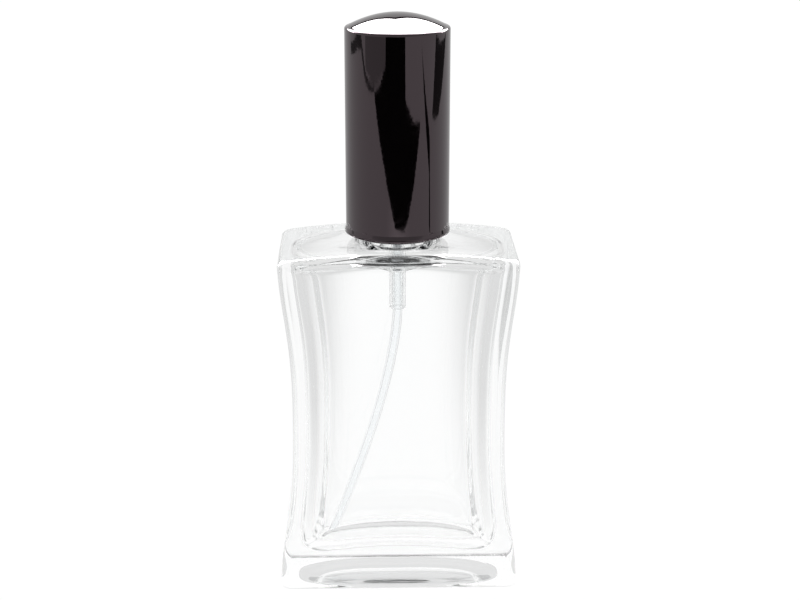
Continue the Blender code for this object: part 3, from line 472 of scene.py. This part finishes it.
def inside_of_glass(flare_ring):
    """Rings over the cavity's ceiling, down its walls and over its crowned floor."""
    across, down = CEILING_CURVE
    edge = [(x, y, crown(x, z)) for x, y, z in inner_ring(CEILING_Z, across, SHOULDER_EDGE_Z)]
    rings = [
        between(flare_ring, edge, i / CEILING_RINGS, CEILING_Z) for i in range(1, CEILING_RINGS)
    ]
    for i in range(ARC_STEPS + 1):
        angle = math.pi / 2 * i / ARC_STEPS
        inset = across * (1.0 - math.sin(angle))
        drop = down * (1.0 - math.cos(angle))
        ring = inner_ring(CEILING_Z - drop, inset, SHOULDER_EDGE_Z - drop)
        rings.append([(x, y, crown(x, z)) for x, y, z in ring])
    across, down_to = FLOOR_CURVE
    top = CEILING_Z - down
    bottom = BASE_THICKNESS + down_to
    for i in range(1, WALL_RINGS):
        share = i / WALL_RINGS
        z = top + (bottom - top) * share
        like_ceiling = (1.0 - share) ** SHAPE_FADE
        like_floor = share ** SHAPE_FADE
        ring = inner_ring(z, 0.0, z - SHOULDER_DROP * like_ceiling)
        rings.append([
            (x, y, level - like_ceiling * (level - crown(x, level)) - like_floor * floor_fall(x))
            for x, y, level in ring
        ])
    for i in range(ARC_STEPS + 1):
        angle = math.pi / 2 * i / ARC_STEPS
        ring = inner_ring(bottom - down_to * math.sin(angle), across * (1.0 - math.cos(angle)))
        rings.append([(x, y, level - floor_fall(x)) for x, y, level in ring])
    floor_edge = inner_ring(BASE_THICKNESS, across)
    for i in range(1, FLOOR_RINGS):
        shrink = 1.0 - i / FLOOR_RINGS
        rings.append([
            (x * shrink, y * shrink, BASE_THICKNESS - floor_fall(x * shrink))
            for x, y, level in floor_edge
        ])
    return rings


def make_bottle():
    """The glass in one skin: outside, neck and cavity, closed by two small flat faces."""
    outside = outside_of_glass()
    neck = neck_of_glass(outside[-1])
    inside = inside_of_glass(neck[-1])
    add_piece("pressed_glass", loft(outside + neck + inside), GLASS, "bottle", "clear_glass",
              "bottle_glass")


# ---------------------------------------------------------------- cap


CAP_WALL = 0.6 * MM
CAP_DOME = 2.6 * MM
CAP_EDGE = 0.5 * MM
CAP_LIP = 0.2 * MM
CAP_LIP_HEIGHT = 1.3 * MM
CAP_MOUTH_CHAMFER = 0.2 * MM
CAP_STEPS = 24
TOP_RING = 0.1 * MM
FOOT_RING = 0.05 * MM
COLLAR_WALL = 0.4 * MM
COLLAR_ROOF_SLOPE = 0.08 * MM
BUTTON_CLEARANCE = 0.4 * MM


def dome_line(edge_radius, edge_z):
    """Half a section of the dome, from its middle to just short of its edge."""
    return [
        (edge_radius * i / CAP_STEPS, edge_z + CAP_DOME * (1.0 - (i / CAP_STEPS) ** 2))
        for i in range(CAP_STEPS)
    ]


def make_cap():
    """The gloss black overcap: a straight tube, a low dome and a small lip round the foot.

    A narrow ring at each end of the wall keeps its shading straight, so it mirrors cleanly.
    """
    foot = low("cap_shell")[2]
    radius = high("cap_shell")[0] - CAP_LIP
    bore = radius - CAP_WALL
    edge_z = high("cap_shell")[2] - CAP_DOME
    inside_top = edge_z - CAP_WALL
    wall_top = edge_z - CAP_EDGE - TOP_RING
    wall_foot = foot + CAP_LIP_HEIGHT + FOOT_RING
    profile = dome_line(radius - CAP_EDGE, edge_z)
    profile += arc((radius - CAP_EDGE, edge_z - CAP_EDGE), CAP_EDGE, 90, 0, steps=6)
    profile += [
        (radius, wall_top + (wall_foot - wall_top) * i / CAP_STEPS) for i in range(CAP_STEPS + 1)
    ]
    profile += [(radius, foot + CAP_LIP_HEIGHT), (radius + CAP_LIP, foot + CAP_LIP_HEIGHT / 2)]
    profile += arc((radius, foot + CAP_LIP), CAP_LIP, 0, -90, steps=4)
    profile += [(bore + CAP_MOUTH_CHAMFER / 2, foot), (bore, foot + CAP_MOUTH_CHAMFER)]
    profile.append((bore, inside_top - CAP_EDGE))
    profile += dome_line(bore - CAP_EDGE, inside_top)[::-1]
    add_piece("gloss_cap", turned(profile), CAP_BLACK, "cap", "cap_black", "cap_shell")


def make_collar():
    """The black collar over the crimp, open in its roof for the button."""
    foot = low("collar_sleeve")[2]
    top = high("collar_sleeve")[2]
    radius = high("collar_sleeve")[0]
    inside = radius - COLLAR_WALL
    roof_foot = top - COLLAR_WALL
    opening = high("actuator_shell")[0] + BUTTON_CLEARANCE
    profile = arc((inside, roof_foot), COLLAR_WALL, 0, 90, steps=6)
    profile += [(opening, top), (opening, roof_foot), (inside, roof_foot - COLLAR_ROOF_SLOPE)]
    profile += [(inside, foot), (radius, foot)]
    add_piece("black_collar", turned(profile), COLLAR_BLACK, "bottle", "collar_black",
              "collar_sleeve")


# ---------------------------------------------------------------- dip tube


TUBE_RADIUS = 1.0 * MM
TUBE_BORE = 0.58 * MM
TUBE_REACH = 15.4 * MM
TUBE_BEND = 1.6
TUBE_FLOOR_GAP = 1.6 * MM
TUBE_SIDES = 32
TUBE_STEPS = 80
SLOPE_STEP = 0.01 * MM
TIP_Z = BASE_THICKNESS - floor_fall(TUBE_REACH) + TUBE_FLOOR_GAP
TAIL_Z = low("pump_housing")[2]


def tube_offset(z):
    """How far the tube has bent sideways at a height; none above the pump's tail."""
    share = max(TAIL_Z - z, 0.0) / (TAIL_Z - TIP_Z)
    return -TUBE_REACH * share ** TUBE_BEND


def make_tube():
    """The hollow dip tube: straight in its socket, bent below it, and cut square at its tip."""
    heights = [high("dip_tube")[2]]
    heights += [TAIL_Z + (TIP_Z - TAIL_Z) * i / TUBE_STEPS for i in range(TUBE_STEPS + 1)]
    outer = []
    inner = []
    for z in heights:
        slope = (tube_offset(z - SLOPE_STEP) - tube_offset(z)) / SLOPE_STEP
        along = Vector((slope, 0.0, -1.0)).normalized()
        across = along.cross(Vector((0.0, 1.0, 0.0)))
        centre = Vector((tube_offset(z), 0.0, z))
        for rings, radius in ((outer, TUBE_RADIUS), (inner, TUBE_BORE)):
            ring = []
            for side in range(TUBE_SIDES):
                angle = math.tau * side / TUBE_SIDES
                point = centre + across * radius * math.cos(angle)
                point.y += radius * math.sin(angle)
                ring.append(point)
            rings.append(ring)
    add_piece("curved_dip_tube", loft(outer + inner[::-1], wrap=True), TUBE_CLEAR, "bottle",
              "tube_translucent", "dip_tube")


# ---------------------------------------------------------------- springs


RETURN_WIRE = 0.4 * MM
RETURN_TURNS = 5.5
SMALL_WIRE = 0.25 * MM
SMALL_TURNS = 3.5
CLOSED_PITCH = 1.2
TURN_STEPS = 48
WIRE_SIDES = 12


def coil_height(turn, turns, wire, length):
    """Height of the wire's middle: one closed turn at each end, an even pitch between."""
    closed = CLOSED_PITCH * wire
    open_turns = turns - 2
    pitch = (length - wire - 2 * closed) / open_turns
    low_part = min(turn, 1.0) * closed
    middle = min(max(turn - 1.0, 0.0), open_turns) * pitch
    high_part = max(turn - 1.0 - open_turns, 0.0) * closed
    return wire / 2 + low_part + middle + high_part


def coiled_spring(name, node, wire, turns, body):
    """A spring of round wire in the place of its CAD node."""
    foot = low(node)[2]
    length = high(node)[2] - foot
    mean_radius = high(node)[0] - wire / 2
    rings = []
    for i in range(int(turns * TURN_STEPS) + 1):
        turn = i / TURN_STEPS
        angle = math.tau * turn
        z = foot + coil_height(turn, turns, wire, length)
        ring = []
        for side in range(WIRE_SIDES):
            round_wire = math.tau * side / WIRE_SIDES
            radius = mean_radius + wire / 2 * math.cos(round_wire)
            ring.append((radius * math.cos(angle), radius * math.sin(angle),
                         z + wire / 2 * math.sin(round_wire)))
        rings.append(ring)
    return add_piece(name, loft(rings), SPRING_STEEL, body, "spring_steel", node)


def make_springs():
    """Build both springs, each with a mesh of its own."""
    back = coiled_spring("coiled_return_spring", "return_spring", RETURN_WIRE, RETURN_TURNS,
                         "bottle")
    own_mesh(back)
    small = coiled_spring("coiled_precompression_spring", "precompression_spring",
                          SMALL_WIRE, SMALL_TURNS, "plunger")
    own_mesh(small)


# ---------------------------------------------------------------- CAD nodes that stay


def dress_nodes():
    """Give the carried-over CAD nodes their finished materials."""
    for node, skin in (
        ("neck_gasket", GASKET),
        ("crimp_ferrule", ALUMINIUM),
        ("pump_housing", PUMP_CLEAR),
        ("turret", PUMP_WHITE),
        ("check_ball", SPRING_STEEL),
        ("stem", PUMP_WHITE),
        ("piston", PUMP_WHITE),
        ("actuator_core", MOULDED_BLACK),
        ("actuator_shell", BUTTON_BLACK),
        ("spray_insert", MOULDED_BLACK),
        ("cap_liner", MOULDED_BLACK),
    ):
        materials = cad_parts[node].data.materials
        materials.clear()
        materials.append(skin)


# ---------------------------------------------------------------- studio


def make_world():
    """White to the camera; to everything else a studio that is darker on the camera's side."""
    world = bpy.data.worlds.new("studio")
    bpy.context.scene.world = world
    world.use_nodes = True
    tree = world.node_tree
    tree.nodes.clear()
    output = tree.nodes.new("ShaderNodeOutputWorld")
    white = tree.nodes.new("ShaderNodeBackground")
    white.inputs["Color"].default_value = (1.0, 1.0, 1.0, 1.0)
    room = tree.nodes.new("ShaderNodeBackground")
    path = tree.nodes.new("ShaderNodeLightPath")
    mix = tree.nodes.new("ShaderNodeMixShader")
    place = tree.nodes.new("ShaderNodeTexCoord")
    split = tree.nodes.new("ShaderNodeSeparateXYZ")
    ramp = tree.nodes.new("ShaderNodeMapRange")
    ramp.inputs["From Min"].default_value = -0.8
    ramp.inputs["From Max"].default_value = 0.3
    ramp.inputs["To Min"].default_value = 0.55
    ramp.inputs["To Max"].default_value = 1.0
    tree.links.new(place.outputs["Generated"], split.inputs["Vector"])
    tree.links.new(split.outputs["Y"], ramp.inputs["Value"])
    tree.links.new(ramp.outputs["Result"], room.inputs["Strength"])
    tree.links.new(path.outputs["Is Camera Ray"], mix.inputs["Fac"])
    tree.links.new(room.outputs["Background"], mix.inputs[1])
    tree.links.new(white.outputs["Background"], mix.inputs[2])
    tree.links.new(mix.outputs["Shader"], output.inputs["Surface"])


def card(name, corners, strength):
    """A flat studio card that only mirror reflections see: a softbox, or black when unlit."""
    mesh = bpy.data.meshes.new(name)
    mesh.from_pydata([tuple(corner) for corner in corners], [], [tuple(range(len(corners)))])
    made = bpy.data.materials.new(name)
    made.use_nodes = True
    tree = made.node_tree
    tree.nodes.clear()
    output = tree.nodes.new("ShaderNodeOutputMaterial")
    glow = tree.nodes.new("ShaderNodeEmission")
    glow.inputs["Strength"].default_value = strength
    tree.links.new(glow.outputs["Emission"], output.inputs["Surface"])
    mesh.materials.append(made)
    thing = bpy.data.objects.new(name, mesh)
    bpy.context.scene.collection.objects.link(thing)
    thing.visible_camera = False
    thing.visible_diffuse = False
    thing.visible_transmission = False
    thing.visible_shadow = False


def make_floor():
    """A pale glowing table: even to the camera, greyer to its sides as seen through the glass."""
    made, tree, shader = new_material("pale_floor")
    two_tone(tree, shader, noise(tree, 8.0), (0.14, 0.14, 0.14), (0.16, 0.16, 0.16))
    shader.inputs["Roughness"].default_value = 0.9
    shader.inputs["Specular IOR Level"].default_value = 0.0
    shader.inputs["Emission Color"].default_value = (1.0, 1.0, 1.0, 1.0)
    place = tree.nodes.new("ShaderNodeTexCoord")
    split = tree.nodes.new("ShaderNodeSeparateXYZ")
    off_axis = tree.nodes.new("ShaderNodeMath")
    off_axis.operation = "ABSOLUTE"
    fall = tree.nodes.new("ShaderNodeMapRange")
    fall.interpolation_type = "SMOOTHSTEP"
    fall.inputs["From Min"].default_value = 0.015
    fall.inputs["From Max"].default_value = 0.14
    fall.inputs["To Min"].default_value = 0.90
    fall.inputs["To Max"].default_value = 0.62
    path = tree.nodes.new("ShaderNodeLightPath")
    mix = tree.nodes.new("ShaderNodeMix")
    mix.inputs["B"].default_value = 0.92
    tree.links.new(place.outputs["Object"], split.inputs["Vector"])
    tree.links.new(split.outputs["X"], off_axis.inputs[0])
    tree.links.new(off_axis.outputs["Value"], fall.inputs["Value"])
    tree.links.new(fall.outputs["Result"], mix.inputs["A"])
    tree.links.new(path.outputs["Is Camera Ray"], mix.inputs["Factor"])
    tree.links.new(mix.outputs["Result"], shader.inputs["Emission Strength"])
    mesh = bpy.data.meshes.new("pale_floor")
    reach = 6.0
    corners = [(-reach, -reach, 0), (reach, -reach, 0), (reach, reach, 0), (-reach, reach, 0)]
    mesh.from_pydata(corners, [], [(0, 1, 2, 3)])
    mesh.materials.append(made)
    floor = bpy.data.objects.new("pale_floor", mesh)
    bpy.context.scene.collection.objects.link(floor)


CARD_LIFT = 0.6 * MM
OVERHEAD_REACH = 1.2
SOFTBOX_EDGE = [(-70, 5), (-25, 16), (-11, 28), (0, 38), (11, 28), (25, 16), (70, 5)]
SOFTBOX_TOP = 68
GAP_WIDTH = 5.5


def table_card(name, outline, strength):
    """A card lying just over the table; its outline is in centimetres."""
    card(name, [(x * 10 * MM, y * 10 * MM, CARD_LIFT) for x, y in outline], strength)


def overhead_card(name, low_edge, high_edge, strength):
    """A card behind and over the cap, between two edges of (sideways, upwards) degrees."""
    cap_z = high("cap_shell")[2]
    for i in range(len(low_edge) - 1):
        corners = []
        for sideways, upwards in (low_edge[i], low_edge[i + 1], high_edge[i + 1], high_edge[i]):
            level = OVERHEAD_REACH * math.cos(math.radians(upwards))
            corners.append((
                level * math.sin(math.radians(sideways)),
                level * math.cos(math.radians(sideways)),
                cap_z + OVERHEAD_REACH * math.sin(math.radians(upwards)),
            ))
        card(name + str(i), corners, strength)


def make_cards():
    """What the gloss cap mirrors: dark cards on the table, and a softbox over a dark gap."""
    table_card("dark_in_front", [
        (-3, -28.5), (-10, -31), (-20, -33), (-43, -33), (-28, -56), (-32, -65), (-34, -90),
        (24, -90), (14.5, -50.5), (35.5, -30.5), (8, -27.5),
    ], strength=0.0)
    table_card("dark_edge_at_the_right", [
        (26, -7), (33.5, -9.5), (41.5, -12.5), (52, -39), (54, -42), (43, -14.5), (34.5, -11.5),
        (27, -9),
    ], strength=0.0)
    table_card("dark_at_the_right", [(47, -9), (48, 8), (58, 45), (73, 0)],
               strength=0.05)
    table_card("dark_edge_at_the_left", [
        (-43, -33), (-55, -15), (-67, -5), (-67, 8), (-56, 34), (-59, 36),
        (-74, 8), (-72, -6), (-57, -17), (-44, -35),
    ], strength=0.1)
    table_card("grey_at_the_left", [
        (-44, -35), (-59, -17), (-72, -20), (-56, -64), (-32, -65), (-28, -56),
    ], strength=0.35)
    softbox_top = [(sideways, SOFTBOX_TOP) for sideways, upwards in SOFTBOX_EDGE]
    gap_foot = [(sideways, upwards - GAP_WIDTH) for sideways, upwards in SOFTBOX_EDGE]
    overhead_card("softbox_behind", SOFTBOX_EDGE, softbox_top, strength=16.0)
    overhead_card("dark_gap_", gap_foot, SOFTBOX_EDGE, strength=0.02)


def make_light_paths():
    """Light runs far along inside thick glass before it comes out."""
    paths = bpy.context.scene.cycles
    paths.max_bounces = 40
    paths.transmission_bounces = 40
    paths.glossy_bounces = 16
    paths.diffuse_bounces = 6


CAMERA_LENS = 77.2
CAMERA_DISTANCE = 332.0 * MM
CAMERA_HEIGHT = 165.3 * MM
CAMERA_ASIDE = 0.5 * MM
CAMERA_TURN = math.radians(1.3)
CAMERA_PITCH = math.radians(17.8)


def make_camera():
    """The photo's view: from in front, a little above and turned a little to the right."""
    data = bpy.data.cameras.new("camera")
    data.lens = CAMERA_LENS
    data.sensor_width = 36.0
    data.clip_start = 0.01
    camera = bpy.data.objects.new("camera", data)
    bpy.context.scene.collection.objects.link(camera)
    camera.location = (
        CAMERA_ASIDE - CAMERA_DISTANCE * math.sin(CAMERA_TURN),
        -CAMERA_DISTANCE * math.cos(CAMERA_TURN),
        CAMERA_HEIGHT,
    )
    camera.rotation_euler = (math.pi / 2 - CAMERA_PITCH, 0.0, -CAMERA_TURN)
    bpy.context.scene.camera = camera


make_camera()
make_world()
make_floor()
make_cards()
make_bottle()
make_cap()
make_collar()
make_tube()
make_springs()
dress_nodes()
bpy.context.scene.view_settings.view_transform = "Standard"
make_light_paths()
